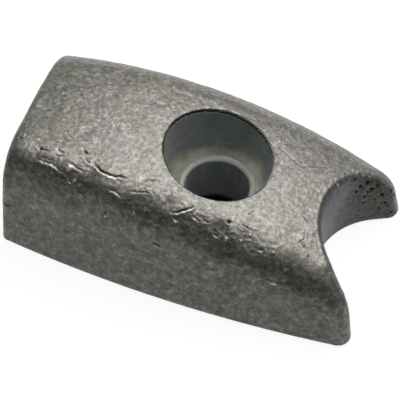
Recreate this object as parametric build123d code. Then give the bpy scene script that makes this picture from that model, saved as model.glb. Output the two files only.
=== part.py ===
"""Saddle-ended block anode: one solid zinc casting held by a single recessed bolt.

Frame: millimetres, +Z up. The origin is on the flat base, on the axis of the bolt hole.
+X runs towards the concave saddle end and -X towards the flat heel. The casting is
symmetric about the XZ plane.
"""
from build123d import *
import os
from math import cos, radians, sin, sqrt, tan

# ---------------------------------------------------------------- driving dimensions
# Plan view, on the base plane
HEEL_REACH = 28.3          # bolt axis to the flat heel face
HEEL_WIDTH = 27.5          # across the base at the heel
HORN_REACH = 26.3          # bolt axis to the section where the horn width is measured
HORN_WIDTH = 27.3          # across the base at the horns
SIDE_BOW = 1.8             # how far each long side swells past a straight line

# Saddle: an arc that the leg of the drive sits in, opening into two straight flares
SADDLE_REACH = 16.1        # bolt axis to the bottom of the saddle
SADDLE_RADIUS = 10.6
SADDLE_HALF_ANGLE = 63.7   # degrees, from -X to the point where the arc ends in a flare
FLARE_LEAN = 28.0          # degrees, each flare from the X axis

# Height and section
CREST_HEIGHT = 18.5        # highest point of the crown
CREST_SETBACK = 14.0       # bolt axis back to the highest point
PROFILE_RADIUS = 89.5      # top line, seen from the side
CROWN_RADIUS = 56.0        # top line, seen from the end
SIDE_DRAFT = 6.4           # degrees, lean of the long sides
SHOULDER_RADIUS = 6.5      # between the long sides and the crown

# Edges
HEEL_EDGE_RADIUS = 1.1     # round the heel face
SADDLE_EDGE_RADIUS = 1.9   # round the saddle wall and down the horn tips
BASE_EDGE_RADIUS = 0.6     # round the base

# Bolt hole and the tapered recess for the head of the bolt
BOLT_HOLE_DIAMETER = 9.4
SEAT_HEIGHT = 9.9          # base to the seat of the bolt head
SEAT_DIAMETER = 14.6
RECESS_MOUTH_DIAMETER = 15.7
MOUTH_EDGE_BREAK = 0.25    # chamfer round the mouth of the recess
SEAT_EDGE_BREAK = 0.5      # chamfer between the seat and the bolt hole
SEAT_CORNER_BREAK = 0.6    # chamfer between the seat and the wall of the recess

# Construction: how far the blank and the cutting bodies run past the casting, the number
# of sections that the crown is lofted through, and the tolerances for telling an upright
# face and an edge that lies on the base
OVERRUN = 10.0
CROWN_STATIONS = 5
UPRIGHT = 1e-6
ON_BASE = 1e-3


def side_circle():
    """Centre and radius, on the base plane, of the circle that the +Y side follows."""
    heel = Vector(-HEEL_REACH, HEEL_WIDTH / 2)
    horn = Vector(HORN_REACH, HORN_WIDTH / 2)
    chord = horn - heel
    radius = (chord.length ** 2 / 4 + SIDE_BOW ** 2) / (2 * SIDE_BOW)
    outward = Vector(-chord.Y, chord.X).normalized()
    return (heel + horn) / 2 - outward * (radius - SIDE_BOW), radius


def side_point(x, spread=0.0):
    """Point at x along the casting on the +Y side's circle, widened by spread."""
    centre, radius = side_circle()
    return Vector(x, centre.Y + sqrt((radius + spread) ** 2 - (x - centre.X) ** 2))


def crown_height(x):
    """Height of the crown on the centre line, at x along the casting."""
    return CREST_HEIGHT - PROFILE_RADIUS + sqrt(PROFILE_RADIUS ** 2 - (x + CREST_SETBACK) ** 2)


def drafted_blank():
    """Barrel-shaped block with leaning sides, longer, taller and deeper than the casting."""
    spread = OVERRUN * tan(radians(SIDE_DRAFT))
    radius = side_circle()[1] + spread
    back = side_point(-HEEL_REACH - OVERRUN, spread)
    front = side_point(HORN_REACH + OVERRUN, spread)
    with BuildPart() as blank:
        with BuildSketch(Plane.XY.offset(-OVERRUN)):
            with BuildLine():
                RadiusArc((back.X, -back.Y), (front.X, -front.Y), -radius)
                Line((front.X, -front.Y), front)
                RadiusArc(front, back, -radius)
                Line(back, (back.X, -back.Y))
            make_face()
        extrude(amount=CREST_HEIGHT + 2 * OVERRUN, taper=SIDE_DRAFT)
    return blank.part


def crown_bar():
    """Bar whose top is the crown: one arc across, lofted along the arc of the top line."""
    half_width = max(HEEL_WIDTH, HORN_WIDTH) / 2 + 2 * SIDE_BOW
    drop = CROWN_RADIUS - sqrt(CROWN_RADIUS ** 2 - half_width ** 2)
    depth = CREST_HEIGHT + OVERRUN
    back = -HEEL_REACH - 2 * OVERRUN
    spacing = (HEEL_REACH + HORN_REACH + 4 * OVERRUN) / (CROWN_STATIONS - 1)
    with BuildPart() as bar:
        for station in range(CROWN_STATIONS):
            x = back + spacing * station
            middle = crown_height(x)
            edge = middle - drop
            with BuildSketch(Plane((x, 0, 0), x_dir=(0, 1, 0), z_dir=(1, 0, 0))):
                with BuildLine():
                    ThreePointArc((-half_width, edge), (0, middle), (half_width, edge))
                    Polyline((half_width, edge), (half_width, -depth), (-half_width, -depth),
                             (-half_width, edge))
                make_face()
        loft()
    return bar.part


def heel_cutter():
    """Block behind the flat heel face."""
    width = HEEL_WIDTH + 2 * OVERRUN
    height = 2 * (CREST_HEIGHT + OVERRUN)
    block = Box(2 * OVERRUN, width, height, align=(Align.MAX, Align.CENTER, Align.CENTER))
    return Pos(-HEEL_REACH, 0, 0) * block


def base_cutter():
    """Block under the flat base."""
    length = HEEL_REACH + HORN_REACH + 4 * OVERRUN
    width = max(HEEL_WIDTH, HORN_WIDTH) + 4 * (SIDE_BOW + OVERRUN)
    return Box(2 * length, width, CREST_HEIGHT + 2 * OVERRUN,
               align=(Align.CENTER, Align.CENTER, Align.MAX))


def saddle_cutter():
    """Upright cutter for the concave end: an arc that opens into two straight flares."""
    half_angle = radians(SADDLE_HALF_ANGLE)
    lean = radians(FLARE_LEAN)
    axis_x = SADDLE_REACH + SADDLE_RADIUS
    arc_end = Vector(axis_x - SADDLE_RADIUS * cos(half_angle), SADDLE_RADIUS * sin(half_angle))
    flare_rise = HORN_WIDTH / 2 + SIDE_BOW + OVERRUN - arc_end.Y
    flare_end = arc_end + Vector(cos(lean), sin(lean)) * (flare_rise / sin(lean))
    front = flare_end.X + OVERRUN
    with BuildPart() as cutter:
        with BuildSketch():
            with BuildLine():
                ThreePointArc((arc_end.X, -arc_end.Y), (SADDLE_REACH, 0), arc_end)
                Polyline(arc_end, flare_end, (front, flare_end.Y), (front, -flare_end.Y),
                         (flare_end.X, -flare_end.Y), (arc_end.X, -arc_end.Y))
            make_face()
        extrude(amount=CREST_HEIGHT + OVERRUN, both=True)
    return cutter.part


def bolt_cutter():
    """Bolt hole, chamfered seat and tapered recess as one turned cutter."""
    hole_radius = BOLT_HOLE_DIAMETER / 2
    seat_radius = SEAT_DIAMETER / 2
    mouth_height = crown_height(0)
    taper = (RECESS_MOUTH_DIAMETER / 2 - seat_radius) / (mouth_height - SEAT_HEIGHT)
    top_height = mouth_height + OVERRUN
    top_radius = seat_radius + taper * (top_height - SEAT_HEIGHT)
    with BuildPart() as cutter:
        with BuildSketch(Plane.XZ) as section:
            with BuildLine():
                Polyline((0, -OVERRUN), (hole_radius, -OVERRUN),
                         (hole_radius, SEAT_HEIGHT - SEAT_EDGE_BREAK),
                         (hole_radius + SEAT_EDGE_BREAK, SEAT_HEIGHT),
                         (seat_radius, SEAT_HEIGHT), (top_radius, top_height),
                         (0, top_height), close=True)
            make_face()
            seat_corner = section.vertices().sort_by_distance((seat_radius, SEAT_HEIGHT))[0]
            chamfer(seat_corner, SEAT_CORNER_BREAK)
        revolve(axis=Axis.Z)
    return cutter.part


def rounded_shoulders(block):
    """Block with its crown blended into the long sides."""
    crown = block.faces().sort_by(Axis.Z)[-1]
    sides = block.faces().sort_by(Axis.Y)
    edges = sides[0].edges() + sides[-1].edges()
    return fillet([edge for edge in edges if edge in crown.edges()], SHOULDER_RADIUS)


def rounded_saddle(block):
    """Block with the top edge of the saddle and both horn tips rounded."""
    wall = [face for face in block.faces()
            if face.center().X > SADDLE_REACH / 2 and abs(face.normal_at().Z) < UPRIGHT]
    edges = [edge for face in wall for edge in face.edges()]
    outline = [edge for edge in edges if edges.count(edge) == 1 and edge.center().Z > ON_BASE]
    return fillet(outline, SADDLE_EDGE_RADIUS)


def rounded_heel(block):
    """Block with the upright and top edges of the heel face rounded."""
    heel = block.faces().sort_by(Axis.X)[0]
    return fillet([edge for edge in heel.edges() if edge.center().Z > ON_BASE], HEEL_EDGE_RADIUS)


def rounded_base(block):
    """Block with the outline of its base rounded."""
    base = block.faces().sort_by(Axis.Z)[0]
    return fillet(base.outer_wire().edges(), BASE_EDGE_RADIUS)


def bolt_recess(block):
    """Block with the bolt hole and its recess, the mouth of the recess chamfered."""
    block = block - bolt_cutter()
    middle_height = (SEAT_HEIGHT + crown_height(0)) / 2
    middle_radius = (SEAT_DIAMETER + RECESS_MOUTH_DIAMETER) / 4
    wall = block.faces().sort_by_distance((middle_radius, 0, middle_height))[0]
    mouth = [edge for edge in wall.edges()
             if edge.center().Z > middle_height and edge.geom_type != GeomType.LINE]
    return chamfer(mouth, MOUTH_EDGE_BREAK)


def anode_casting():
    """The whole casting."""
    body = drafted_blank() & crown_bar()
    body = rounded_shoulders(body - heel_cutter() - saddle_cutter()) - base_cutter()
    return bolt_recess(rounded_base(rounded_heel(rounded_saddle(body))))


if __name__ == "__main__":
    os.makedirs("parts", exist_ok=True)
    export_step(anode_casting(), "parts/anode_casting.step")
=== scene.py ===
"""Saddle-ended block anode: its as-cast zinc skin, and the stage that it stands on.

Places are in the casting's own frame: the origin is on the flat base, on the axis of the
bolt hole, +X runs to the concave saddle end, -Y is the near side and +Z is up. Lengths are
in metres, apart from the marks in the skin, which are listed in millimetres.
"""
from math import cos, radians, sin
from types import SimpleNamespace

import bpy
import numpy as np
from mathutils import Matrix, Vector
from mathutils.bvhtree import BVHTree


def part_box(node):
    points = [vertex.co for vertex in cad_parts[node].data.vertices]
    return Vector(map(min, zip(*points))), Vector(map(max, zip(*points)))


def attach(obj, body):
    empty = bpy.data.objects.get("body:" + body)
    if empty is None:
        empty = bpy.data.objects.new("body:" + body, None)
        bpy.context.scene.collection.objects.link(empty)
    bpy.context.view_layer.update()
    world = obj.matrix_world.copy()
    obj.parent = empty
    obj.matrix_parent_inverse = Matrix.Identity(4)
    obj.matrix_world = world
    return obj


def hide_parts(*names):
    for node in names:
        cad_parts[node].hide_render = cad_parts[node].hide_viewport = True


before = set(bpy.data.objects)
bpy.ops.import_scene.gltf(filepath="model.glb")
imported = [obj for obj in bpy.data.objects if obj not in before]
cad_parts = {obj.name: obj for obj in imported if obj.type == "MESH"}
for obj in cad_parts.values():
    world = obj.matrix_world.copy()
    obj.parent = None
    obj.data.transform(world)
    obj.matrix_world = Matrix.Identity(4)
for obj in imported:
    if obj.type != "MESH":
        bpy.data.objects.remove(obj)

bl_info = {
    "name": "Saddle Block Anode",
    "version": (1, 0, 0),
    "blender": (4, 5, 0),
    "location": "View3D > Sidebar > Anode",
    "description": "Builds the as-cast skin of a bolted zinc block anode and its stage",
    "category": "Object",
}

MM = 0.001
CASTING = "anode_casting"
CASTING_LOW, CASTING_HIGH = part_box(CASTING)
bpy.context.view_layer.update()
MIDDLE = Vector((0.0, 0.0, 8 * MM))     # the view and the lamp are aimed here


def linear(hex_colour):
    """Linear red, green and blue of an sRGB hex colour."""
    channels = [int(hex_colour[i:i + 2], 16) / 255 for i in (1, 3, 5)]
    return [c / 12.92 if c <= 0.04045 else ((c + 0.055) / 1.055) ** 2.4 for c in channels]


# ------------------------------------------------------------------ sizes and colours
def length(name, millimetres, description):
    """A length that a user can change, given in millimetres."""
    return bpy.props.FloatProperty(name=name, description=description, unit="LENGTH",
                                   default=millimetres * MM, min=0.0, precision=5)


def angle(name, degrees, description):
    """An angle that a user can change, given in degrees."""
    return bpy.props.FloatProperty(name=name, description=description, subtype="ANGLE",
                                   default=radians(degrees))


def fraction(name, value, description):
    """A fraction, 0 to 1, that a user can change."""
    return bpy.props.FloatProperty(name=name, description=description, subtype="FACTOR",
                                   default=value, min=0.0, max=1.0)


def colour(name, hex_colour, description):
    """A colour that a user can change, given as sRGB hex."""
    return bpy.props.FloatVectorProperty(name=name, description=description, size=3,
                                         subtype="COLOR", min=0.0, max=1.0,
                                         default=linear(hex_colour))


class ANODE_PG_skin(bpy.types.PropertyGroup):
    """Sizes of the cast skin."""

    grid: length("Skin Grid", 0.38, "Edge length of the faces of the skin")
    mark_reach: length("Mark Reach", 0.9, "Skin this near to a mark gets finer faces")
    most_triangles: bpy.props.IntProperty(name="Most Triangles", default=190000, min=1000,
                                          description="Largest number of triangles in the skin")
    swell_size: length("Swell Size", 4.5, "Width of the low swells left by the mould")
    swell_height: length("Swell Height", 0.16, "Height of those swells, hollow to top")
    lump_size: length("Lump Size", 1.1, "Width of the small lumps in the skin")
    lump_height: length("Lump Height", 0.06, "Height of those lumps, hollow to top")
    crumple_size: length("Crumple Size", 0.5, "Width of the crumples of the near shoulder")
    crumple_height: length("Crumple Height", 0.12, "Height of those crumples")
    mouth_radius: length("Recess Mouth Radius", 8.0, "The cored recess lies inside this")
    seat_height: length("Seat Height", 9.9, "Base to the seat of the bolt head")
    bolt_radius: length("Bolt Hole Radius", 4.7, "Radius of the bolt hole")
    undercut: length("Undercut", 0.24, "Depth of the groove just below the mouth")
    burr_height: length("Burr Height", 0.08, "Height of the burr on the edge of the mouth")
    saddle_axis: length("Saddle Axis", 26.7, "Bolt axis to the axis of the saddle")
    saddle_radius: length("Saddle Radius", 10.6, "Radius of the round of the saddle")
    saddle_edge: length("Saddle Edge", 1.9, "Radius of the saddle's top edge in the casting")
    saddle_crisp: length("Saddle Edge, Crisp", 1.1, "Radius that this edge is filled out to")
    flare_lean: angle("Flare Lean", 28.0, "Each flare of the saddle from the long axis")


class ANODE_PG_finish(bpy.types.PropertyGroup):
    """Colours, grain and gloss of the zinc."""

    zinc: colour("Zinc", "#999894", "Weathered face of the casting")
    zinc_dark: colour("Zinc, Dark", "#7D7C78", "Darker grains of the skin")
    zinc_bare: colour("Zinc, Bare", "#B8B7B2", "Raised grains, rubbed bare")
    pepper: colour("Pepper", "#4C4B48", "Fine dark pores between the grains")
    olive: colour("Olive Bloom", "#95968A", "Weathered patches with a green cast")
    violet: colour("Violet Bloom", "#959092", "Weathered patches with a red cast")
    # Upright Tint: painted shade that darkens upright faces, with the mould's blotches in it
    upright: colour("Upright Tint", "#C0C0BC", "Tint of faces that stood upright in the mould")
    cored: colour("Cored Face", "#A2A8A9", "Smooth faces that a core left")
    # Seat: the seat's olive grey, darkened as painted shade
    seat: colour("Seat", "#8C8F86", "Seat of the bolt head")
    hole: colour("Bolt Hole", "#8E9496", "Wall of the bolt hole")
    # Seat Ring: rubbed bare, and lightened as a painted highlight
    ring: colour("Seat Ring", "#C4C6BE", "Bare chamfer between the seat and the bolt hole")
    saddle: colour("Saddle", "#454B4F", "Smooth round of the saddle")
    # Porous Face: dark pores, and painted shade on a flare that turns from the light
    porous: colour("Porous Face", "#42423C", "Dark, porous far flare")
    # Lip: bare metal, lightened to a painted highlight on fold lips, flecks and the burr
    lip: colour("Lip", "#F0EEE8", "Bare edges of the folds")
    # Pit colour is painted shade: black inside seams, pits, pores and the lower end of the bolt
    # hole
    hollow_shade: colour("Pit", "#151514", "Inside of seams and pores")
    roughness: fraction("Roughness", 0.4, "Roughness of the cast skin")
    cored_roughness: fraction("Cored Roughness", 0.7, "Roughness of the cored faces")
    metallic: fraction("Metallic", 0.5, "Bare metal in the gloss of the cast skin")
    cored_metallic: fraction("Cored Metallic", 0.15, "Bare metal in that of the cored faces")
    grain_size: length("Grain Size", 0.62, "Width of the grains in the skin")
    grain_height: length("Grain Height", 0.05, "Height of the grains, hollow to top")
    mottle_size: length("Mottle Size", 2.2, "Width of the stains in the skin")
    patch_size: length("Patch Size", 5.0, "Width of the weathered patches")
    blotch_size: length("Blotch Size", 1.15, "Width of the blotches on upright faces")
    pore_size: length("Pore Size", 0.62, "Width of the pores of the far flare")


class ANODE_PG_stage(bpy.types.PropertyGroup):
    """View, light and floor."""

    azimuth: angle("Azimuth", 17.2467, "Turn of the view round the vertical")
    elevation: angle("Elevation", 52.4345, "Height of the view above the floor")
    roll: angle("Roll", 3.2815, "Turn of the view about its own axis")
    distance: length("Distance", 271.185, "View point to the middle of the casting")
    sight_x: length("Sight Across", 2.389, "Middle of the picture, across the view")
    sight_y: length("Sight Up", 1.0805, "Middle of the picture, up the view")
    lens: bpy.props.FloatProperty(name="Lens", default=168.879, min=1.0, unit="CAMERA",
                                  description="Focal length of the view")
    lamp_side: length("Softbox Side", 610.0, "Length of each side of the softbox")
    lamp_power: bpy.props.FloatProperty(name="Softbox Power", default=3.9, min=0.0,
                                        unit="POWER", description="Power of the softbox")
    lamp: colour("Softbox", "#FFFCF6", "Light of the softbox")
    sky: colour("Sky", "#DCE6F4", "Light from all round")
    sky_strength: fraction("Sky Strength", 0.045, "Strength of the light from all round")
    floor: colour("Floor", "#A4A4A2", "Plain pale floor")
    floor_radius: length("Floor Radius", 2600.0, "Reach of the floor")
    backdrop_height: length("Backdrop Height", 400.0, "Height of the pale edge of the floor")


# ------------------------------------------------------------------ small tools
def select_only(piece):
    """Select one object and make it active."""
    bpy.ops.object.select_all(action="DESELECT")
    piece.select_set(True)
    bpy.context.view_layer.objects.active = piece


def finish_modifier(piece, kind, **settings):
    """Add a modifier with its settings and apply it."""
    select_only(piece)
    modifier = piece.modifiers.new(kind.lower(), kind)
    for name, value in settings.items():
        setattr(modifier, name, value)
    bpy.ops.object.modifier_apply(modifier=modifier.name)


def weight(piece, name, values):
    """Store one weight for each vertex in a vertex group."""
    group = piece.vertex_groups.new(name=name)
    for index, value in enumerate(values):
        group.add([index], float(value), "REPLACE")
    return group.name


def points_of(piece):
    """Vertex positions and normals of a mesh as two arrays."""
    count = len(piece.data.vertices)
    places = np.empty(count * 3, np.float32)
    normals = np.empty(count * 3, np.float32)
    piece.data.vertices.foreach_get("co", places)
    piece.data.vertices.foreach_get("normal", normals)
    return places.reshape(-1, 3).astype(float), normals.reshape(-1, 3).astype(float)


def move_points(piece, places):
    """Put the vertices of a mesh at new places."""
    piece.data.vertices.foreach_set("co", places.astype(np.float32).ravel())
    piece.data.update()


def triangle_count(mesh):
    """Number of triangles in a mesh."""
    return sum(len(face.vertices) - 2 for face in mesh.polygons)


def skin_tree(skin):
    """Search tree of the skin's faces."""
    mesh = skin.data
    return BVHTree.FromPolygons([vertex.co for vertex in mesh.vertices],
                                [tuple(face.vertices) for face in mesh.polygons])


def eased(value, start, full):
    """0 at start and short of it, 1 at full and past it, smooth between."""
    share = np.clip((value - start) / (full - start), 0.0, 1.0)
    return share * share * (3.0 - 2.0 * share)


def faded(distance, width):
    """1 at no distance, fading to nothing beyond a width."""
    return np.exp(-(distance / width) ** 2)


def bell(places, centre, radius):
    """1 at a centre, fading to nothing beyond a radius."""
    return faded(np.linalg.norm(places - centre, axis=1), radius)


def node(tree, kind, settings=None, out=0, **links):
    """Add a node and return one of its outputs; settings set its own fields, links set or
    join its inputs by name, or by number after an underscore."""
    made = tree.nodes.new(kind)
    for name, value in (settings or {}).items():
        setattr(made, name, value)
    for name, value in links.items():
        key = int(name[1:]) if name[0] == "_" else name.replace("_", " ")
        if isinstance(value, bpy.types.NodeSocket):
            tree.links.new(value, made.inputs[key])
        else:
            made.inputs[key].default_value = value
    return made.outputs[out] if made.outputs else None


# ------------------------------------------------------------------ marks in the skin
# All in millimetres. A mark is placed as it is seen from above, by x and y, from the near
# side, by x and z, or from the saddle end, by y and z, and drops on to the skin there.
ABOVE, NEAR, END = "above", "near", "end"

FOLDS = (
    # Folds where two tongues of metal met cold: view, points along the fold, half width,
    # depth of the seam, which gets painted shade, height of the lip beside it, whose edge gets
    # a painted highlight
    (ABOVE, ((-15.5, -8.6), (-14.7, -9.1), (-13.8, -9.5), (-12.9, -9.65), (-11.9, -9.6),
             (-11.2, -9.4), (-10.5, -9.3)), 0.13, 0.42, 0.2),
    (ABOVE, ((-17.6, -7.1), (-17.2, -7.4), (-16.9, -7.6)), 0.13, 0.24, 0.04),
    (ABOVE, ((-17.2, -8.1), (-16.4, -8.7), (-15.5, -9.0)), 0.1, 0.08, 0.09),
    (ABOVE, ((-23.4, -10.0), (-22.6, -10.1), (-21.8, -10.1), (-21.1, -10.2), (-20.4, -10.4),
             (-19.6, -10.8)), 0.13, 0.16, 0.13),
    (ABOVE, ((-23.2, -9.8), (-22.1, -9.7), (-21.1, -9.9)), 0.14, 0.1, 0.02),
    (ABOVE, ((-24.1, -8.3), (-23.5, -8.6), (-22.8, -8.7), (-22.1, -8.6)), 0.11, 0.16, 0.03),
    (ABOVE, ((-26.0, -7.3), (-24.9, -6.8), (-23.6, -7.2)), 0.1, 0.1, 0.03),
    (ABOVE, ((-21.3, -9.0), (-20.6, -9.1), (-19.9, -8.8)), 0.1, 0.08, 0.04),
    (ABOVE, ((-21.2, -8.2), (-20.2, -8.4)), 0.12, 0.2, 0.04),
    (ABOVE, ((-19.0, -9.6), (-18.2, -9.6), (-17.4, -10.0), (-16.4, -10.1)), 0.12, 0.2, 0.07),
    (ABOVE, ((-18.5, -11.3), (-17.9, -11.6), (-17.3, -11.5)), 0.13, 0.12, 0.1),
    (ABOVE, ((-16.3, -12.3), (-15.6, -12.5), (-15.0, -12.7)), 0.12, 0.1, 0.16),
    (ABOVE, ((-12.0, -11.3), (-11.1, -11.4), (-10.2, -11.7)), 0.12, 0.16, 0.08),
    (ABOVE, ((-9.0, -10.8), (-8.0, -10.5), (-6.6, -10.2)), 0.1, 0.14, 0.06),
    (ABOVE, ((-7.9, -8.8), (-7.2, -8.5), (-6.2, -8.0)), 0.1, 0.16, 0.05),
    (ABOVE, ((-2.9, -11.5), (-2.4, -11.3), (-1.9, -11.1), (-1.2, -10.6), (-0.6, -10.1),
             (-0.2, -9.7)), 0.12, 0.3, 0.2),
    (ABOVE, ((0.0, -11.0), (0.6, -11.1), (1.2, -11.4)), 0.11, 0.14, 0.07),
    (ABOVE, ((1.5, -10.9), (2.3, -11.0)), 0.13, 0.14, 0.06),
    (ABOVE, ((-2.2, -12.0), (-1.6, -12.1)), 0.14, 0.18, 0.12),
    (ABOVE, ((3.2, -11.5), (3.6, -11.9), (4.2, -12.1), (4.8, -12.1)), 0.1, 0.06, 0.1),
    (ABOVE, ((2.9, -12.1), (3.3, -13.1)), 0.09, 0.05, 0.08),
    (ABOVE, ((2.0, -12.3), (2.3, -13.1)), 0.09, 0.05, 0.07),
    (ABOVE, ((7.1, -7.5), (7.5, -6.8)), 0.09, 0.1, 0.08),
    (ABOVE, ((6.9, -9.3), (7.6, -9.4), (8.4, -9.6)), 0.1, 0.18, 0.08),
    (ABOVE, ((11.5, -8.5), (12.1, -8.6), (12.6, -8.5)), 0.09, 0.08, 0.05),
    (ABOVE, ((7.4, 5.2), (8.6, 4.7), (9.7, 4.2), (10.5, 3.9), (11.1, 3.7)), 0.09, 0.16, 0.02),
    (ABOVE, ((11.1, 3.7), (12.6, 4.8), (14.4, 6.0)), 0.08, 0.1, 0.02),
    (ABOVE, ((13.9, -3.9), (14.4, -4.1), (14.8, -4.1)), 0.1, 0.18, 0.03),
    (ABOVE, ((15.0, -6.2), (15.3, -7.0), (14.8, -7.8)), 0.1, 0.05, 0.1),
    (NEAR, ((-28.0, 8.1), (-27.3, 7.7), (-26.5, 8.1)), 0.14, 0.24, 0.08),
    (NEAR, ((-13.0, 8.9), (-11.9, 9.1), (-11.0, 8.8)), 0.12, 0.12, 0.06),
    (NEAR, ((-4.8, 11.7), (-4.1, 11.5), (-3.4, 11.3)), 0.14, 0.22, 0.06),
    (NEAR, ((8.3, 10.5), (9.4, 10.6), (10.5, 10.7)), 0.1, 0.08, 0.12),
    (NEAR, ((3.7, 9.7), (4.5, 9.8), (5.3, 9.9)), 0.1, 0.08, 0.1),
    (NEAR, ((12.0, 10.4), (12.9, 10.2), (14.2, 10.1)), 0.18, 0.06, 0.12),
    (NEAR, ((22.3, 5.3), (22.9, 5.2), (23.4, 5.3)), 0.14, 0.04, 0.05),
    (END, ((1.0, 11.9), (2.4, 11.8), (3.8, 11.5)), 0.1, 0.1, 0.04),
)

PITS = (
    # Pores and chips: view, place, radius, depth
    (ABOVE, (-27.1, -7.6), 0.2, 0.2),
    (ABOVE, (-26.4, -7.1), 0.16, 0.08),
    (ABOVE, (-23.4, -8.6), 0.2, 0.25),
    (ABOVE, (-17.9, -11.6), 0.16, 0.12),
    (ABOVE, (-8.2, -12.2), 0.18, 0.16),
    (ABOVE, (-5.8, -12.0), 0.16, 0.12),
    (NEAR, (-23.9, 12.3), 0.2, 0.08),
    (NEAR, (-21.3, 12.5), 0.18, 0.09),
    (NEAR, (-26.5, 14.0), 0.18, 0.08),
    (NEAR, (-4.2, 14.3), 0.22, 0.12),
    (NEAR, (-3.7, 11.3), 0.24, 0.12),
    (NEAR, (4.1, 12.2), 0.24, 0.16),
    (NEAR, (-0.5, 9.2), 0.2, 0.09),
    (ABOVE, (10.2, -11.3), 0.22, 0.18),
    (ABOVE, (14.2, -11.7), 0.36, 0.16),
    (NEAR, (19.2, 8.3), 0.22, 0.12),
    (ABOVE, (15.6, -8.1), 0.15, 0.16),
    (ABOVE, (5.0, -9.8), 0.18, 0.22),
    (NEAR, (-7.0, 6.0), 0.2, 0.08),
    (NEAR, (1.5, 7.5), 0.2, 0.08),
    (NEAR, (13.5, 4.5), 0.2, 0.08),
    (ABOVE, (17.8, 5.8), 0.15, 0.16),
    (ABOVE, (18.4, 6.8), 0.22, 0.28),
    (ABOVE, (19.7, 8.2), 0.17, 0.18),
    (ABOVE, (20.2, 9.2), 0.22, 0.24),
    (END, (8.4, 9.7), 0.34, 0.4),
    (END, (8.8, 8.0), 0.32, 0.38),
    (END, (7.9, 8.8), 0.2, 0.26),
    (END, (8.2, 6.6), 0.18, 0.24),
    (END, (7.6, 9.4), 0.26, 0.35),
    (END, (8.5, 7.5), 0.24, 0.25),
    (END, (9.4, 8.5), 0.26, 0.3),
    (END, (9.7, 6.3), 0.3, 0.34),
    (END, (9.2, 5.5), 0.18, 0.2),
    (END, (8.2, 5.1), 0.16, 0.2),
    (END, (10.0, 4.3), 0.26, 0.3),
    (END, (9.6, 3.2), 0.2, 0.25),
    (END, (8.8, 3.0), 0.14, 0.2),
    (END, (10.8, 6.5), 0.26, 0.3),
    (END, (10.6, 1.8), 0.22, 0.25),
    (END, (7.2, 8.4), 0.24, 0.3),
    (END, (11.4, 4.9), 0.24, 0.3),
)

FLECKS = (
    # Raised spots with a painted highlight, the last five broad and low: view, place, radius,
    # height
    (ABOVE, (-18.5, -10.2), 0.42, 0.14),
    (ABOVE, (-17.2, -11.3), 0.24, 0.14),
    (ABOVE, (-7.9, -12.8), 0.22, 0.1),
    (ABOVE, (5.3, -11.9), 0.26, 0.14),
    (ABOVE, (5.0, -10.2), 0.18, 0.1),
    (ABOVE, (8.3, -10.2), 0.2, 0.14),
    (ABOVE, (7.3, -11.4), 0.2, 0.14),
    (ABOVE, (12.0, -10.9), 0.18, 0.12),
    (ABOVE, (16.3, -9.0), 0.2, 0.08),
    (ABOVE, (16.6, 4.0), 0.24, 0.14),
    (NEAR, (-11.8, 13.5), 0.26, 0.12),
    (NEAR, (13.2, 10.1), 0.34, 0.08),
    (ABOVE, (-25.8, -8.4), 1.8, 0.085),
    (ABOVE, (-22.4, -8.6), 1.8, 0.08),
    (ABOVE, (-18.6, -9.0), 1.6, 0.07),
    (ABOVE, (-13.2, -10.1), 1.6, 0.085),
    (ABOVE, (18.6, -8.9), 1.1, 0.085),
)

SWELLS = (
    # Broad hollows and rises of the shoulder: view, place, radius, height (hollows below 0)
    (ABOVE, (-25.4, -10.2), 1.8, 0.3),
    (ABOVE, (-21.8, -10.0), 2.2, 0.34),
    (ABOVE, (-17.8, -10.3), 1.9, 0.26),
    (ABOVE, (-15.8, -13.0), 1.8, -0.12),
    (ABOVE, (-12.3, -11.4), 2.5, 0.42),
    (ABOVE, (-6.5, -12.6), 2.0, -0.15),
    (ABOVE, (-3.4, -10.6), 1.3, -0.2),
    (ABOVE, (-1.4, -11.4), 1.6, 0.2),
    (ABOVE, (3.8, -13.0), 2.2, -0.32),
    (ABOVE, (4.3, -11.1), 0.9, -0.16),
    (ABOVE, (9.0, -11.0), 2.4, -0.12),
    (ABOVE, (12.5, -9.8), 2.2, 0.1),
    (ABOVE, (15.6, -12.4), 2.2, -0.28),
)

# Depths and heights, in millimetres, at which a mark has its full painted shade or painted
# highlight
BLACK_SEAM = 0.3
BLACK_PIT = 0.32
GLINT_LIP = 0.2
GLINT_FLECK = 0.15

# Full strengths for flecks and the mouth of the recess, where -1 is black painted shade and 1
# is a full painted highlight
FLECK_GLINT = 0.6
BURR_GLINT = 0.3
UNDERCUT_SHADE = -1.2
BRINK_SHADE = -0.8


# ------------------------------------------------------------------ the cast skin
# A normal's rise is its z: 0 on an upright face, 1 on a level one.
RAY_HEIGHT = 1.0            # rays that look for the crown start this high
DOWN = Vector((0.0, 0.0, -1.0))
MERGE_REACH = 1e-6          # vertices this near to each other are one
TINY = 1e-6                 # keeps a division away from nought
SECOND_CUT = 0.55           # the second round of finer faces reaches this share as far
MOUTH_REACH = 0.8 * MM      # skin this near to the mouth of the recess gets finer faces
MOUTH_LOWEST = 12 * MM      # height that all of the mouth lies above
FACING_DOWN = -0.999        # a face whose normal's z is less than this is on the flat base
CLOUD_LEVEL = 0.55          # level of the clouds that leaves the skin where it is
CALM_CRUMPLE = 0.25         # share of the crumples away from the near shoulder
SADDLE_CALM = 0.7           # share of the roughness that the saddle is spared


def dropped(tree, view, place):
    """Point of the skin under a place that is given as seen from one side."""
    first, second = place[0] * MM, place[1] * MM
    start, heading = {
        ABOVE: ((first, second, 2 * CASTING_HIGH.z), DOWN),
        NEAR: ((first, 2 * CASTING_LOW.y, second), (0.0, 1.0, 0.0)),
        END: ((2 * CASTING_HIGH.x, first, second), (-1.0, 0.0, 0.0)),
    }[view]
    point, _, _, _ = tree.ray_cast(Vector(start), Vector(heading))
    if point is None:
        raise RuntimeError(f"the mark at {place} misses the casting")
    return np.array(point)


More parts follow.
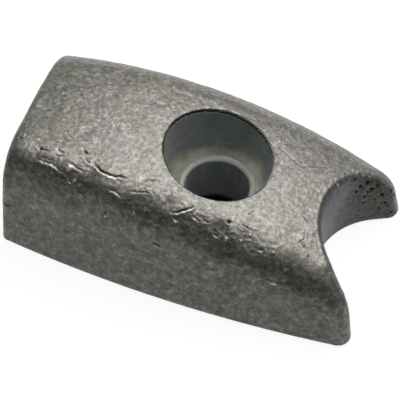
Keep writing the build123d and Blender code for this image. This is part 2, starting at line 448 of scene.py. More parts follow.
def along_line(places, line):
    """For each place: its nearest point on a line, how far along it is, 0 to 1, and the run
    of the line there."""
    runs = np.linalg.norm(np.diff(line, axis=0), axis=1)
    before = np.concatenate(([0.0], np.cumsum(runs)))
    best = np.full(len(places), np.inf)
    nearest = np.zeros_like(places)
    share = np.zeros(len(places))
    heading = np.zeros_like(places)
    for start, end, run, passed in zip(line[:-1], line[1:], runs, before):
        step = (end - start) / run
        reach = np.clip((places - start) @ step, 0.0, run)
        foot = start + reach[:, None] * step
        gap = np.linalg.norm(places - foot, axis=1)
        closer = gap < best
        best[closer] = gap[closer]
        nearest[closer] = foot[closer]
        share[closer] = (passed + reach[closer]) / before[-1]
        heading[closer] = step
    return nearest, share, heading


def fold_relief(places, normals, line, half_width, seam, lip):
    """Height, painted shade and painted highlight of a fold at each place: a narrow seam that
    wanders a little, and a ledge on one side. The seam is painted black, -1, as shade, and the
    ledge's edge gets a painted highlight, 1."""
    half_seam = half_width * MM
    stray = 0.3 * half_seam             # how far the seam wanders sideways
    steep_side = 0.7 * half_seam        # reach of the side that falls away steeply
    slope_side = 1.6 * half_seam        # reach of the side that slopes up to the ledge
    dark_width = 0.75 * half_seam
    ledge_width = 3.2 * half_seam
    run_out = 2.2 * half_seam           # how soon the ledge sinks back into the skin
    edge_middle = 0.65 * ledge_width
    edge_width = 0.3 * ledge_width
    ends = 0.03                         # the fade stops this share short of each end
    uneven = 0.15                       # how much the height varies along the fold
    long_wave, short_wave, height_wave = 0.31 * MM, 0.13 * MM, 0.47 * MM

    nearest, share, heading = along_line(places, line)
    offset = places - nearest
    aside = np.einsum("ij,ij->i", offset, np.cross(heading, normals))
    side = np.where(aside < 0.0, -1.0, 1.0)
    x = places[:, 0]
    wander = np.sin(x / long_wave) + np.sin(x / short_wave + 1.3)
    across = side * np.linalg.norm(offset, axis=1) + stray * wander

    fade = np.clip(np.sin(np.pi * np.clip(share, ends, 1.0 - ends)), 0.0, 1.0) ** 0.5
    fade = fade * (1.0 - uneven + uneven * np.sin(x / height_wave))
    slope = np.clip(1.0 - across / slope_side, 0.0, 1.0)
    groove = np.where(across < 0.0, faded(across, steep_side), slope)
    past_ledge = np.clip(across - ledge_width, 0.0, None)
    ledge = np.clip(across / ledge_width, 0.0, 1.0) * np.exp(-past_ledge / run_out)
    # edge: where the ledge's painted highlight lies; dark: where the seam's painted shade lies
    edge = faded(across - edge_middle, edge_width)
    dark = faded(across, dark_width)
    height = fade * MM * (lip * ledge - seam * groove)
    shade_and_glint = fade * (min(1.0, lip / GLINT_LIP) * edge - min(1.0, seam / BLACK_SEAM) * dark)
    return height, shade_and_glint


def near_marks(places, tree, reach):
    """Which places are near a fold, a pit or a fleck."""
    near = np.zeros(len(places), bool)
    for view, line, *_ in FOLDS:
        line = np.array([dropped(tree, view, place) for place in line])
        nearest, _, _ = along_line(places, line)
        near |= np.linalg.norm(places - nearest, axis=1) < reach
    for view, place, _, _ in PITS + FLECKS:
        centre = dropped(tree, view, place)
        near |= np.linalg.norm(places - centre, axis=1) < reach
    return near


def near_detail(skin, sizes, share):
    """Which vertices are near a mark or the mouth of the recess, within a share of the
    reach of each."""
    places, _ = points_of(skin)
    near = near_marks(places, skin_tree(skin), share * sizes.mark_reach)
    from_mouth = np.abs(np.hypot(places[:, 0], places[:, 1]) - sizes.mouth_radius)
    return near | ((from_mouth < share * MOUTH_REACH) & (places[:, 2] > MOUTH_LOWEST))


def near_rounds(skin, sizes):
    """Which vertices are on the near shoulder or on the top edge of the saddle."""
    places, normals = points_of(skin)
    rise = normals[:, 2]
    saddle_end = places[:, 0] > sizes.saddle_axis - sizes.saddle_radius - 2 * MM
    faces_saddle = normals[:, 0] > 0.15
    rounded = (rise > 0.02) & (rise < 0.97)
    on_shoulder = shoulder_share(places, normals) > 0.3
    return (saddle_end & faces_saddle & rounded) | on_shoulder


def cut_finer(skin, chosen):
    """Subdivide the faces whose vertices are all chosen."""
    mesh = skin.data
    select_only(skin)
    for face in mesh.polygons:
        face.select = all(chosen[index] for index in face.vertices)
    bpy.ops.object.mode_set(mode="EDIT")
    bpy.ops.mesh.select_mode(type="FACE")
    bpy.ops.mesh.subdivide(number_cuts=1)
    bpy.ops.mesh.select_all(action="DESELECT")
    bpy.ops.object.mode_set(mode="OBJECT")


def on_saddle_edge(places, normals, ahead, sizes):
    """Which places lie on the round between the wall of the saddle and the crown; the outer
    corners of the horns and the foot of the wall are left out."""
    rise = normals[:, 2]
    saddle_end = places[:, 0] > sizes.saddle_axis - sizes.saddle_radius - 2.5 * MM
    faces_saddle = (ahead[:, 0] > 0.3) & (ahead[:, 1] * np.sign(places[:, 1]) < 0.1)
    rounded = (rise > 0.04) & (rise < 0.985)
    clear_of_base = places[:, 2] > CASTING_LOW.z + 2 * MM
    return saddle_end & faces_saddle & rounded & clear_of_base


def crisp_reach(turn, corner, wide, tight):
    """How far the filled edge lies from the axis of the wide round, at a turn away from the
    wall; the corner is the angle between the directions that the wall and the crown face."""
    least = 0.05                    # keeps a slant from reaching far
    flat = min(wide / max(cos(turn), least), wide / max(cos(corner - turn), least))
    middle = (wide - tight) / cos(corner / 2)
    swing = turn - corner / 2
    inside = tight ** 2 - (middle * sin(swing)) ** 2
    if inside > 0.0:
        return min(flat, middle * cos(swing) + inside ** 0.5)
    return flat


def crisped(skin, sizes):
    """The round of the saddle's top edge filled out to a tighter one, vertex by vertex, and
    less and less towards the horn tips."""
    places, normals = points_of(skin)
    tree = skin_tree(skin)
    level = np.hypot(normals[:, 0], normals[:, 1])
    ahead = normals[:, :2] / np.maximum(level, TINY)[:, None]
    wide = sizes.saddle_edge
    behind = 2.2 * wide             # far enough behind the edge to be on the crown
    least_corner = 0.6              # in radians; an edge that is nearly flat is left alone
    untouched, full = 12.6 * MM, 10.6 * MM      # distances from the middle of the casting
    filled = eased(np.abs(places[:, 1]), untouched, full)
    for index in np.flatnonzero(on_saddle_edge(places, normals, ahead, sizes)):
        wall = np.array([*ahead[index], 0.0])
        inner = places[index] - behind * wall
        point, crown, _, _ = tree.ray_cast(Vector((inner[0], inner[1], RAY_HEIGHT)), DOWN)
        if point is None:
            continue
        corner = np.arccos(np.clip(wall @ np.array(crown), -1.0, 1.0))
        turn = np.arccos(np.clip(wall @ normals[index], -1.0, 1.0))
        if least_corner <= corner and turn <= corner:
            gain = max(crisp_reach(turn, corner, wide, sizes.saddle_crisp) - wide, 0.0)
            places[index] += normals[index] * filled[index] * gain
    move_points(skin, places)


def as_cast_share(places, normals, sizes):
    """1 on faces that the mould left, fading to 0 in the cored bolt hole and on the base, and
    low round the saddle."""
    from_axis = np.hypot(places[:, 0], places[:, 1])
    outside = eased(from_axis, sizes.mouth_radius, sizes.mouth_radius + 0.5 * MM)
    above = eased(places[:, 2], CASTING_LOW.z + 0.1 * MM, CASTING_LOW.z + 0.7 * MM)
    saddle = eased(places[:, 0], 13 * MM, 15 * MM) * eased(normals[:, 0], 0.35, 0.5)
    return outside * above * (1.0 - SADDLE_CALM * saddle)


def shoulder_share(places, normals):
    """1 on the rounded near shoulder, where the metal crumpled most."""
    rise = normals[:, 2]
    turned = eased(rise, 0.4, 0.7) * eased(rise, 0.985, 0.94)
    near_side = eased(places[:, 1], -6.5 * MM, -8.5 * MM)
    short_of_horn = eased(places[:, 0], 15 * MM, 10 * MM)
    return turned * near_side * short_of_horn


def roughened(skin, sizes):
    """Swells, lumps and crumples of the mould face, by displacement with soft clouds."""
    places, normals = points_of(skin)
    cast = as_cast_share(places, normals, sizes)
    shoulder = shoulder_share(places, normals)
    everywhere = weight(skin, "as_cast", cast)
    crumpled = weight(skin, "crumpled",
                      cast * (CALM_CRUMPLE + (1.0 - CALM_CRUMPLE) * shoulder))
    for name, size, height, group in (
            ("mould_swells", sizes.swell_size, sizes.swell_height, everywhere),
            ("skin_lumps", sizes.lump_size, sizes.lump_height, everywhere),
            ("shoulder_crumple", sizes.crumple_size, sizes.crumple_height, crumpled)):
        clouds = bpy.data.textures.new(name, "CLOUDS")
        clouds.noise_scale = size
        clouds.noise_depth = 1
        finish_modifier(skin, "DISPLACE", texture=clouds, texture_coords="LOCAL",
                        vertex_group=group, strength=height, mid_level=CLOUD_LEVEL)


def below_crown(places, tree, chosen, sizes):
    """How far the chosen places lie below the crown just outside the mouth of the recess, in
    millimetres; the others count as far away."""
    outside = sizes.mouth_radius + 0.7 * MM
    below = np.full(len(places), np.inf)
    for index in np.flatnonzero(chosen):
        x, y = places[index, :2] * outside / np.hypot(*places[index, :2])
        crown, _, _, _ = tree.ray_cast(Vector((x, y, RAY_HEIGHT)), DOWN)
        below[index] = (crown.z - places[index, 2]) / MM
    return below


def mouth_shares(places, normals, tree, sizes):
    """Shares of the undercut below the mouth of the recess and of the burr on its edge, on
    the far side of the bolt hole, and of the brink on the near side, which gets painted shade."""
    coarse_teeth, fine_teeth = 31, 53           # round the mouth
    ragged_share = 0.4                          # how strongly they shape the burr
    near_burr = 0.3                             # the burr's share on the near side
    groove_level, groove_width = 0.42, 0.17     # millimetres below the crown
    burr_depth, burr_width = 0.2, 0.14 * MM     # below the crown in mm, across the edge
    brink_inset, brink_width = 0.1 * MM, 0.13 * MM

    outward = np.hypot(places[:, 0], places[:, 1]) - sizes.mouth_radius
    near_mouth = (np.abs(outward) < 0.6 * MM) & (places[:, 2] > MOUTH_LOWEST)
    below = below_crown(places, tree, near_mouth, sizes)
    turn = np.arctan2(places[:, 1], places[:, 0])
    ragged = 0.5 * (np.sin(coarse_teeth * turn) + np.sin(fine_teeth * turn + 1.3))
    far = eased(places[:, 1], -3.5 * MM, 0.5 * MM)
    wall = normals[:, 2] < 0.6
    under = wall * faded(below - groove_level - 0.1 * ragged, groove_width)
    uneven = 1.0 - ragged_share + ragged_share * ragged
    burr = uneven * faded(below, burr_depth) * faded(outward, burr_width)
    brink = near_mouth * faded(outward + brink_inset, brink_width)
    burr_share = near_burr + (1.0 - near_burr) * far
    return under * far, burr * burr_share, brink * (1.0 - far)


def marked(skin, sizes):
    """Swells, folds, pits and flecks pressed into the skin, and the mouth of the recess
    undercut; each vertex keeps painted shade, below 0, and painted highlight, above 0, for the
    finish."""
    tree = skin_tree(skin)
    places, normals = points_of(skin)
    height = np.zeros(len(places))
    shade_and_glint = np.zeros(len(places))
    for view, place, radius, rise in SWELLS:
        height += rise * MM * bell(places, dropped(tree, view, place), radius * MM)
    # Folds: painted shade in the seam, painted highlight on the lip
    for view, line, half_width, seam, lip in FOLDS:
        line = np.array([dropped(tree, view, place) for place in line])
        rise, shade = fold_relief(places, normals, line, half_width, seam, lip)
        height += rise
        shade_and_glint += shade
    # Pits get painted shade inside
    for view, place, radius, depth in PITS:
        hollow = bell(places, dropped(tree, view, place), radius * MM)
        height -= depth * MM * hollow
        shade_and_glint -= depth / BLACK_PIT * hollow
    # Flecks get a painted highlight
    for view, place, radius, rise in FLECKS:
        spot = bell(places, dropped(tree, view, place), radius * MM)
        height += rise * MM * spot
        shade_and_glint += FLECK_GLINT * min(1.0, rise / GLINT_FLECK) * spot
    # The burr gets a painted highlight; the undercut and the near brink get painted shade
    under, burr, brink = mouth_shares(places, normals, tree, sizes)
    height += sizes.burr_height * burr - sizes.undercut * under
    shade_and_glint += BURR_GLINT * burr + UNDERCUT_SHADE * under + BRINK_SHADE * brink
    move_points(skin, places + normals * height[:, None])
    attribute = skin.data.attributes.new("shade_and_glint", "FLOAT", "POINT")
    attribute.data.foreach_set("value", np.clip(shade_and_glint, -1.0, 1.0).astype(np.float32))


def thinned(skin, sizes):
    """Triangles taken out where the skin is plain, so that it stays light enough to use."""
    share = sizes.most_triangles / triangle_count(skin.data)
    finish_modifier(skin, "DECIMATE", ratio=min(1.0, share))


def kept_inside(skin):
    """The skin brought back inside the casting's own box."""
    places, _ = points_of(skin)
    move_points(skin, np.clip(places, np.array(CASTING_LOW), np.array(CASTING_HIGH)))


def shaded_smooth(skin):
    """Smooth shading on all but the flat base."""
    for face in skin.data.polygons:
        face.use_smooth = face.normal.z > FACING_DOWN


def evenly_meshed(context, sizes):
    """A copy of the casting's mesh, closed up and cut into even faces."""
    skin = bpy.data.objects.new("cast_skin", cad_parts[CASTING].data.copy())
    context.scene.collection.objects.link(skin)
    skin.data.materials.clear()
    select_only(skin)
    bpy.ops.mesh.customdata_custom_splitnormals_clear()
    bpy.ops.object.mode_set(mode="EDIT")
    bpy.ops.mesh.select_all(action="SELECT")
    bpy.ops.mesh.remove_doubles(threshold=MERGE_REACH)
    bpy.ops.object.mode_set(mode="OBJECT")
    skin.data.remesh_voxel_size = sizes.grid
    bpy.ops.object.voxel_remesh()
    return skin


class ANODE_OT_skin(bpy.types.Operator):
    """Build the cast skin over the casting, with its swells, folds and pits"""

    bl_idname = "anode.skin"
    bl_label = "Cast Skin"

    def execute(self, context):
        sizes = context.scene.anode_skin
        skin = evenly_meshed(context, sizes)
        cut_finer(skin, near_detail(skin, sizes, 1.0) | near_rounds(skin, sizes))
        cut_finer(skin, near_detail(skin, sizes, SECOND_CUT))
        crisped(skin, sizes)
        marked(skin, sizes)
        roughened(skin, sizes)
        thinned(skin, sizes)
        kept_inside(skin)
        shaded_smooth(skin)
        skin.data.materials.append(cast_zinc(context.scene.anode_finish, sizes))
        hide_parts(CASTING)
        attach(skin, "root")
        return {"FINISHED"}


# ------------------------------------------------------------------ finish
SMOOTH = {"interpolation_type": "SMOOTHSTEP"}
BLEND = {"data_type": "RGBA"}
DARKEN = {"data_type": "RGBA", "blend_type": "MULTIPLY"}
TIMES = {"operation": "MULTIPLY"}
MINUS = {"operation": "SUBTRACT"}
PLUS = {"operation": "ADD"}
TIMES_PLUS = {"operation": "MULTIPLY_ADD"}
LARGER = {"operation": "MAXIMUM"}
SPAN = {"operation": "LENGTH"}
ALONG = {"operation": "DOT_PRODUCT"}


def surface(tree, finish):
    """Where a point of the skin lies, also without its height, and how it faces, with the
    noises that several parts of the finish share: rounded grains, finer ones, and stains."""
    place = node(tree, "ShaderNodeTexCoord", out=3)
    x = node(tree, "ShaderNodeSeparateXYZ", Vector=place)
    return SimpleNamespace(
        place=place, normal=place.node.outputs["Normal"],
        x=x, y=x.node.outputs["Y"], z=x.node.outputs["Z"],
        level=node(tree, "ShaderNodeVectorMath", TIMES, _0=place, _1=(1.0, 1.0, 0.0)),
        grain=node(tree, "ShaderNodeTexNoise", Vector=place, Scale=1 / finish.grain_size,
                   Detail=2.0, Roughness=0.55, Distortion=0.1),
        fine=node(tree, "ShaderNodeTexNoise", Vector=place, Scale=2.4 / finish.grain_size,
                  Detail=2.0, Roughness=0.6),
        mottle=node(tree, "ShaderNodeTexNoise", Vector=place, Scale=1 / finish.mottle_size,
                    Detail=3.0, Roughness=0.6))


def weathered(tree, at, finish):
    """Dull zinc with dark and bare grains, stains and fine dark pores, and with patches a few
    millimetres across that have a green or a red cast."""
    patch = node(tree, "ShaderNodeTexNoise", Vector=at.place, Scale=1 / finish.patch_size,
                 Detail=2.0)
    face = [*finish.zinc, 1.0]
    for noise, start, full, strength, tint in (
            # A layer starts at one level of its noise and is full at the other
            (patch, 0.52, 0.66, 1.0, finish.olive),
            (patch, 0.48, 0.36, 1.0, finish.violet),
            (at.grain, 0.56, 0.36, 1.0, finish.zinc_dark),
            (at.grain, 0.58, 0.72, 1.0, finish.zinc_bare),
            (at.mottle, 0.5, 0.3, 0.5, finish.zinc_dark),
            (at.fine, 0.45, 0.33, 0.7, finish.pepper)):
        share = node(tree, "ShaderNodeMapRange", SMOOTH, Value=noise, From_Min=start,
                     From_Max=full, To_Max=strength)
        face = node(tree, "ShaderNodeMix", BLEND, out=2, _0=share, _6=face, _7=[*tint, 1.0])
    return face


def sides_shaded_and_blotched(tree, at, face, finish):
    """Upright faces darkened as painted shade, and blotched where the mould's coat stuck to
    them.
    """
    upward = node(tree, "ShaderNodeSeparateXYZ", out=2, Vector=at.normal)
    # Faces that turn upright get the painted shade
    upright = node(tree, "ShaderNodeMapRange", SMOOTH, Value=upward, From_Min=0.86,
                   From_Max=0.64)
    coat = node(tree, "ShaderNodeTexNoise", Vector=at.place, Scale=1 / finish.blotch_size,
                Detail=3.0, Roughness=0.6)
    blotch = node(tree, "ShaderNodeMapRange", Value=coat, From_Min=0.3, From_Max=0.7,
                  To_Min=0.56, To_Max=1.44)
    tint = node(tree, "ShaderNodeMix", DARKEN, out=2, _0=1.0, _6=[*finish.upright, 1.0],
                _7=blotch)
    return node(tree, "ShaderNodeMix", DARKEN, out=2, _0=upright, _6=face, _7=tint)


def saddle_shares(tree, at, sizes):
    """Share of the smooth round of the saddle, and of the rough far end beyond it, parted by
    a border that leans back as it rises."""
    from_axis = node(tree, "ShaderNodeVectorMath", SPAN, out=1,
                     _0=node(tree, "ShaderNodeVectorMath", MINUS, _0=at.level,
                             _1=(sizes.saddle_axis, 0.0, 0.0)))
    near_wall = node(tree, "ShaderNodeMapRange", SMOOTH, Value=from_axis,
                     From_Min=sizes.saddle_radius + 0.9 * MM,
                     From_Max=sizes.saddle_radius + 0.1 * MM)
    leaning = node(tree, "ShaderNodeMath", TIMES_PLUS, _0=at.z, _1=-0.33, _2=at.y)
    rough_end = node(tree, "ShaderNodeMapRange", SMOOTH, Value=leaning, From_Min=2.4 * MM,
                     From_Max=3.8 * MM)
    smooth_end = node(tree, "ShaderNodeMath", MINUS, _0=1.0, _1=rough_end)
    return node(tree, "ShaderNodeMath", TIMES, _0=near_wall, _1=smooth_end), rough_end


def speckled_saddle(tree, at, face, round_share, finish):
    """The round of the saddle is smooth, dark and cool, and its grains show as speckles that
    get lighter towards the far side."""
    speckle = node(tree, "ShaderNodeMapRange", Value=at.grain, From_Min=0.3, From_Max=0.7,
                   To_Min=0.35, To_Max=1.65)
    lighter = node(tree, "ShaderNodeMapRange", SMOOTH, Value=at.y, From_Min=0.5 * MM,
                   From_Max=6 * MM, To_Min=0.6, To_Max=1.25)
    speckle = node(tree, "ShaderNodeMath", TIMES, _0=speckle, _1=lighter)
    tint = node(tree, "ShaderNodeMix", DARKEN, out=2, _0=1.0, _6=[*finish.saddle, 1.0],
                _7=speckle)
    return node(tree, "ShaderNodeMix", BLEND, out=2, _0=round_share, _6=face, _7=tint)


def porous_shaded_flare(tree, at, face, rough_end, finish, sizes):
    """The far flare is dark: partly its porous metal, partly painted shade on a face that turns
    from the light.
    """
    lean = sizes.flare_lean
    toward = node(tree, "ShaderNodeVectorMath", ALONG, out=1, _0=at.normal,
                  _1=(sin(lean), -cos(lean), 0.0))
    # The flare is picked out by the way it faces, for its painted shade
    on_flare = node(tree, "ShaderNodeMapRange", SMOOTH, Value=toward, From_Min=0.45,
                    From_Max=0.8)
    on_flare = node(tree, "ShaderNodeMath", TIMES, _0=rough_end, _1=on_flare)
    pores = node(tree, "ShaderNodeTexNoise", Vector=at.place, Scale=1 / finish.pore_size,
                 Detail=2.0, Roughness=0.65)
    pore = node(tree, "ShaderNodeMapRange", SMOOTH, Value=pores, From_Min=0.54, From_Max=0.4)
    porous = node(tree, "ShaderNodeMix", BLEND, out=2, _0=pore, _6=[*finish.porous, 1.0],
                  _7=[*finish.hollow_shade, 1.0])
    return node(tree, "ShaderNodeMix", BLEND, out=2, _0=on_flare, _6=face, _7=porous)


def shaded_worn_seat(tree, at, from_bolt, scuff, finish, sizes):
    """The seat of the bolt head is scuffed and darkened, partly as painted shade, and its inner
    edge is rubbed bare, unevenly, and lightened as a painted highlight.
    """
    seat = node(tree, "ShaderNodeMix", DARKEN, out=2, _0=1.0, _6=[*finish.seat, 1.0],
                _7=scuff)
    uneven = node(tree, "ShaderNodeMath", TIMES_PLUS, _0=at.mottle, _1=0.9 * MM,
                  _2=from_bolt)
    from_ring = node(tree, "ShaderNodeMath", {"operation": "ABSOLUTE"},
                     _0=node(tree, "ShaderNodeMath", MINUS, _0=uneven,
                             _1=sizes.bolt_radius + 0.7 * MM))
    # The ring: rubbed bare, with a painted highlight
    ring = node(tree, "ShaderNodeMapRange", SMOOTH, Value=from_ring, From_Min=0.45 * MM,
                From_Max=0.05 * MM)
    return node(tree, "ShaderNodeMix", BLEND, out=2, _0=ring, _6=seat, _7=[*finish.ring, 1.0])


def cored_recess(tree, at, finish, sizes):
    """The recess and the bolt hole are smooth from the core: a scuffed wall, the seat, darkened
    in part as painted shade, and the hole, painted black with shade towards its lower end.
    Gives their colour, and their share of the skin."""
    from_bolt = node(tree, "ShaderNodeVectorMath", SPAN, out=1, _0=at.level)
    inside = node(tree, "ShaderNodeMapRange", SMOOTH, Value=from_bolt,
                  From_Min=sizes.mouth_radius - 0.02 * MM,
                  From_Max=sizes.mouth_radius - 0.14 * MM)
    scuff = node(tree, "ShaderNodeMapRange", Value=at.mottle, From_Min=0.35, From_Max=0.65,
                 To_Min=0.8, To_Max=1.2)
    # The wall and the seat get lighter towards +X, the saddle end
    ahead = node(tree, "ShaderNodeMapRange", SMOOTH, Value=at.x, From_Max=6 * MM, To_Min=0.95,
                 To_Max=1.5)
    scuff = node(tree, "ShaderNodeMath", TIMES, _0=scuff, _1=ahead)
    wall = node(tree, "ShaderNodeMix", DARKEN, out=2, _0=0.6, _6=[*finish.cored, 1.0],
                _7=scuff)
    seat = shaded_worn_seat(tree, at, from_bolt, scuff, finish, sizes)
    on_seat = node(tree, "ShaderNodeMapRange", SMOOTH, Value=at.z,
                   From_Min=sizes.seat_height + 0.66 * MM,
                   From_Max=sizes.seat_height + 0.5 * MM)
    # Painted shade: the hole goes black towards its lower end
    painted_deep_shade = node(tree, "ShaderNodeMapRange", SMOOTH, Value=at.z, From_Min=2.2 * MM,
                From_Max=1.0 * MM)
    hole = node(tree, "ShaderNodeMix", BLEND, out=2, _0=painted_deep_shade, _6=[*finish.hole, 1.0],
                _7=[*finish.hollow_shade, 1.0])
    in_hole = node(tree, "ShaderNodeMath", {"operation": "LESS_THAN"}, _0=from_bolt,
                   _1=sizes.bolt_radius + 0.03 * MM)
    core = node(tree, "ShaderNodeMix", BLEND, out=2, _0=on_seat, _6=wall, _7=seat)
    return node(tree, "ShaderNodeMix", BLEND, out=2, _0=in_hole, _6=core, _7=hole), inside


def painted_mark_shading(tree, face, finish):
    """Painted shade blackens seams, pores, the undercut and the near brink; painted highlights
    lighten the lips, flecks and the burr.
    """
    shade_and_glint = node(tree, "ShaderNodeAttribute", {"attribute_name": "shade_and_glint"}, out=2)
    for start, full, tint in ((0.1, 0.8, finish.lip), (-0.1, -0.75, finish.hollow_shade)):
        share = node(tree, "ShaderNodeMapRange", SMOOTH, Value=shade_and_glint, From_Min=start,
                     From_Max=full)
        face = node(tree, "ShaderNodeMix", BLEND, out=2, _0=share, _6=face, _7=[*tint, 1.0])
    return face


def grain_bump(tree, at, cored, in_saddle, finish):
    """The grains stand out of the skin, but hardly where the core or the saddle is smooth."""
    smooth = node(tree, "ShaderNodeMath", LARGER, _0=cored, _1=in_saddle)
    spared = node(tree, "ShaderNodeMath", TIMES, _0=smooth, _1=0.85)
    rough = node(tree, "ShaderNodeMath", MINUS, _0=1.0, _1=spared)
    height = node(tree, "ShaderNodeMath", PLUS, _0=at.grain,
                  _1=node(tree, "ShaderNodeMath", TIMES, _0=at.fine, _1=0.4))
    return node(tree, "ShaderNodeBump", Strength=1.0, Distance=finish.grain_height,
                Height=node(tree, "ShaderNodeMath", TIMES, _0=height, _1=rough))


def cast_zinc(finish, sizes):
    """Zinc, cast in a coated mould and greyed by weather: dull, grainy and mottled, with
    smoother faces in the saddle and where the core was; its colour also holds painted shade and
    painted highlights."""
    material = bpy.data.materials.new("Cast Zinc")
    material.use_nodes = True
    tree = material.node_tree
    tree.nodes.clear()
    at = surface(tree, finish)
    face = sides_shaded_and_blotched(tree, at, weathered(tree, at, finish), finish)
    in_saddle, rough_end = saddle_shares(tree, at, sizes)
    face = speckled_saddle(tree, at, face, in_saddle, finish)
    face = porous_shaded_flare(tree, at, face, rough_end, finish, sizes)
    core, cored = cored_recess(tree, at, finish, sizes)
    face = node(tree, "ShaderNodeMix", BLEND, out=2, _0=cored, _6=face, _7=core)
    face = painted_mark_shading(tree, face, finish)
    gloss = node(tree, "ShaderNodeMapRange", Value=cored, To_Min=finish.metallic,
                 To_Max=finish.cored_metallic)
    rough = node(tree, "ShaderNodeMapRange", Value=cored, To_Min=finish.roughness,
                 To_Max=finish.cored_roughness)
    metal = node(tree, "ShaderNodeBsdfPrincipled", Base_Color=face, Metallic=gloss,
                 Roughness=rough, Normal=grain_bump(tree, at, cored, in_saddle, finish))
    node(tree, "ShaderNodeOutputMaterial", Surface=metal)
    return material


def pale_floor(floor_colour):
    """Matt pale floor that looks white to the eye and in gloss, and keeps a soft shadow; it
    stays dim under the bolt hole, where the casting covers it."""
    shadow_grey = 0.14          # how pale the floor looks by lamp light alone
    glow_strength = 0.92        # what lifts it to white
    covered = 10 * MM           # radius, round the bolt axis, of the floor that stays dim
    material = bpy.data.materials.new("Pale Floor")
    material.use_nodes = True
    tree = material.node_tree
    tree.nodes.clear()
    seen = node(tree, "ShaderNodeLightPath", out=0)
    path = seen.node.outputs
    seen = node(tree, "ShaderNodeMath", LARGER, _0=seen, _1=path["Is Glossy Ray"])
    seen = node(tree, "ShaderNodeMath", LARGER, _0=seen, _1=path["Is Transmission Ray"])
    matt = node(tree, "ShaderNodeBsdfDiffuse", Color=[*floor_colour, 1.0])
    shaded = node(tree, "ShaderNodeBsdfDiffuse", Color=[*[shadow_grey] * 3, 1.0])
    from_bolt = node(tree, "ShaderNodeVectorMath", SPAN, out=1,
                     _0=node(tree, "ShaderNodeTexCoord", out=3))
    open_floor = node(tree, "ShaderNodeMath", {"operation": "GREATER_THAN"}, _0=from_bolt,
                      _1=covered)
    glow = node(tree, "ShaderNodeEmission",
                Strength=node(tree, "ShaderNodeMath", TIMES, _0=open_floor,
                              _1=glow_strength))
    white = node(tree, "ShaderNodeAddShader", _0=shaded, _1=glow)
    both = node(tree, "ShaderNodeMixShader", _0=seen, _1=matt, _2=white)
    node(tree, "ShaderNodeOutputMaterial", Surface=both)
    return material


def sky_light(settings):
    """Weak, even light from all round."""
    world = bpy.data.worlds.new("Sky Light")
    world.use_nodes = True
    tree = world.node_tree
    tree.nodes.clear()
    dim = node(tree, "ShaderNodeBackground", Color=[*settings.sky, 1.0],
               Strength=settings.sky_strength)
    node(tree, "ShaderNodeOutputWorld", Surface=dim)
    return world


# ------------------------------------------------------------------ stage
SOFTBOX_PLACE = Vector((56.0, 203.0, 562.0)) * MM
SENSOR_WIDTH = 36.0         # of the view's camera, in millimetres
FLOOR_SIDES = 96


def round_floor(settings):
    """Round floor with an upright edge all round."""
    bpy.ops.object.select_all(action="DESELECT")
    bpy.ops.mesh.primitive_circle_add(vertices=FLOOR_SIDES, radius=settings.floor_radius,
                                      fill_type="NGON", location=(0.0, 0.0, CASTING_LOW.z))
    floor = bpy.context.object
    floor.name = "floor"
    bpy.ops.object.mode_set(mode="EDIT")
    bpy.ops.mesh.select_all(action="SELECT")
    bpy.ops.mesh.extrude_region_move(
        TRANSFORM_OT_translate={"value": (0.0, 0.0, settings.backdrop_height)})
    bpy.ops.mesh.delete(type="ONLY_FACE")
    bpy.ops.object.mode_set(mode="OBJECT")
    floor.data.materials.append(pale_floor(settings.floor))
    return floor


def key_softbox(settings):
    """Large square lamp, high up on the far side, that is aimed at the casting."""
    bpy.ops.object.light_add(type="AREA", location=SOFTBOX_PLACE)
    lamp = bpy.context.object
    lamp.name = "key_softbox"
    lamp.rotation_euler = (MIDDLE - SOFTBOX_PLACE).to_track_quat("-Z", "Y").to_euler()
    lamp.data.size = settings.lamp_side
    lamp.data.energy = settings.lamp_power
    lamp.data.color = settings.lamp


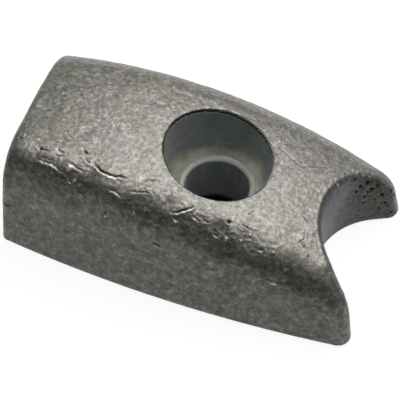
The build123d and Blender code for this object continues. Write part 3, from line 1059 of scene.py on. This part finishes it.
def view_camera(settings):
    """Camera that looks down on the casting from its near side."""
    turn, rise = settings.azimuth, settings.elevation
    back = Vector((sin(turn) * cos(rise), -cos(turn) * cos(rise), sin(rise)))
    level = Vector((cos(turn), sin(turn), 0.0))
    upright = back.cross(level)
    across = cos(settings.roll) * level + sin(settings.roll) * upright
    up = cos(settings.roll) * upright - sin(settings.roll) * level
    aim = MIDDLE - across * settings.sight_x - up * settings.sight_y
    bpy.ops.object.camera_add()
    camera = bpy.context.object
    camera.name = "view"
    camera.matrix_world = (Matrix.Translation(aim + back * settings.distance)
                           @ Matrix((across, up, back)).transposed().to_4x4())
    camera.data.sensor_width = SENSOR_WIDTH
    camera.data.lens = settings.lens
    return camera


class ANODE_OT_stage(bpy.types.Operator):
    """Set the floor, the soft lamp, the sky light and the view"""

    bl_idname = "anode.stage"
    bl_label = "Stage"

    def execute(self, context):
        scene = context.scene
        settings = scene.anode_stage
        floor = round_floor(settings)
        key_softbox(settings)
        scene.world = sky_light(settings)
        scene.camera = view_camera(settings)
        scene.view_settings.view_transform = "Standard"
        return {"FINISHED"}


# ------------------------------------------------------------------ sidebar
class ANODE_PT_panel(bpy.types.Panel):
    """Sidebar panel of the anode"""

    bl_idname = "ANODE_PT_panel"
    bl_label = "Block Anode"
    bl_space_type = "VIEW_3D"
    bl_region_type = "UI"
    bl_category = "Anode"

    def draw(self, context):
        scene = context.scene
        for group, operator in ((scene.anode_skin, "anode.skin"),
                                (scene.anode_finish, None),
                                (scene.anode_stage, "anode.stage")):
            column = self.layout.column(align=True)
            for name in group.__annotations__:
                column.prop(group, name)
            if operator:
                column.operator(operator)


CLASSES = (ANODE_PG_skin, ANODE_PG_finish, ANODE_PG_stage, ANODE_OT_skin, ANODE_OT_stage,
           ANODE_PT_panel)


def register():
    """Make the classes and their settings known to Blender."""
    for cls in CLASSES:
        bpy.utils.register_class(cls)
    bpy.types.Scene.anode_skin = bpy.props.PointerProperty(type=ANODE_PG_skin)
    bpy.types.Scene.anode_finish = bpy.props.PointerProperty(type=ANODE_PG_finish)
    bpy.types.Scene.anode_stage = bpy.props.PointerProperty(type=ANODE_PG_stage)


def unregister():
    """Take them out again."""
    del bpy.types.Scene.anode_stage
    del bpy.types.Scene.anode_finish
    del bpy.types.Scene.anode_skin
    for cls in reversed(CLASSES):
        bpy.utils.unregister_class(cls)


def main():
    """Build the piece and the stage."""
    register()
    bpy.ops.anode.skin()
    bpy.ops.anode.stage()


if __name__ == "__main__":
    main()
